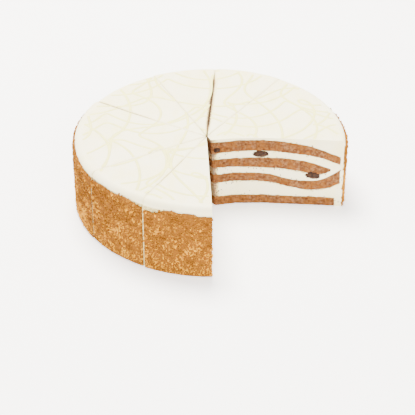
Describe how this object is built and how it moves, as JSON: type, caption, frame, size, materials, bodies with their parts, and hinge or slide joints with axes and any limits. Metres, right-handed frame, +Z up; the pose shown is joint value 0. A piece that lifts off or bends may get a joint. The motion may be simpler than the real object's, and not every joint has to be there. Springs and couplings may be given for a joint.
{
  "type": "carrot cake",
  "caption": "Round layered carrot cake with cream filling and cover, chopped nuts pressed round its side, cut into portions, with a quarter taken out",
  "frame": {"origin": "Centre of the cake's round base, on the surface it rests on", "axes": "+Z up. The missing quarter lies between +X and -Y: one open face runs nearly along +X and faces -Y, the other runs along -Y and faces +X"},
  "size_m": [0.241, 0.2416, 0.0678],
  "materials": {
    "cream": "matt to satin, soft whipped cream",
    "sponge": "matt, open crumb",
    "chopped_nuts": "matt, toasted, granular",
    "raisin": "moist, slightly glossy"
  },
  "bodies": {
    "root": {"cream_1": "cream", "nut_coat_1": "chopped_nuts", "sponge_1_1": "sponge", "sponge_2_1": "sponge", "sponge_3_1": "sponge", "sponge_4_1": "sponge", "cream_2": "cream", "nut_coat_2": "chopped_nuts", "sponge_1_2": "sponge", "sponge_2_2": "sponge", "sponge_3_2": "sponge", "sponge_4_2": "sponge", "cream_3": "cream", "nut_coat_3": "chopped_nuts", "sponge_1_3": "sponge", "sponge_2_3": "sponge", "sponge_3_3": "sponge", "sponge_4_3": "sponge", "cream_4": "cream", "nut_coat_4": "chopped_nuts", "sponge_1_4": "sponge", "sponge_2_4": "sponge", "sponge_3_4": "sponge", "sponge_4_4": "sponge", "cream_5": "cream", "nut_coat_5": "chopped_nuts", "sponge_1_5": "sponge", "sponge_2_5": "sponge", "sponge_3_5": "sponge", "sponge_4_5": "sponge", "cream_6": "cream", "nut_coat_6": "chopped_nuts", "sponge_1_6": "sponge", "sponge_2_6": "sponge", "sponge_3_6": "sponge", "sponge_4_6": "sponge", "cream_7": "cream", "nut_coat_7": "chopped_nuts", "sponge_1_7": "sponge", "sponge_2_7": "sponge", "sponge_3_7": "sponge", "sponge_4_7": "sponge", "raisin_1": "raisin", "raisin_2": "raisin", "raisin_3": "raisin", "raisin_4": "raisin", "raisin_5": "raisin"}
  },
  "joints": []
}
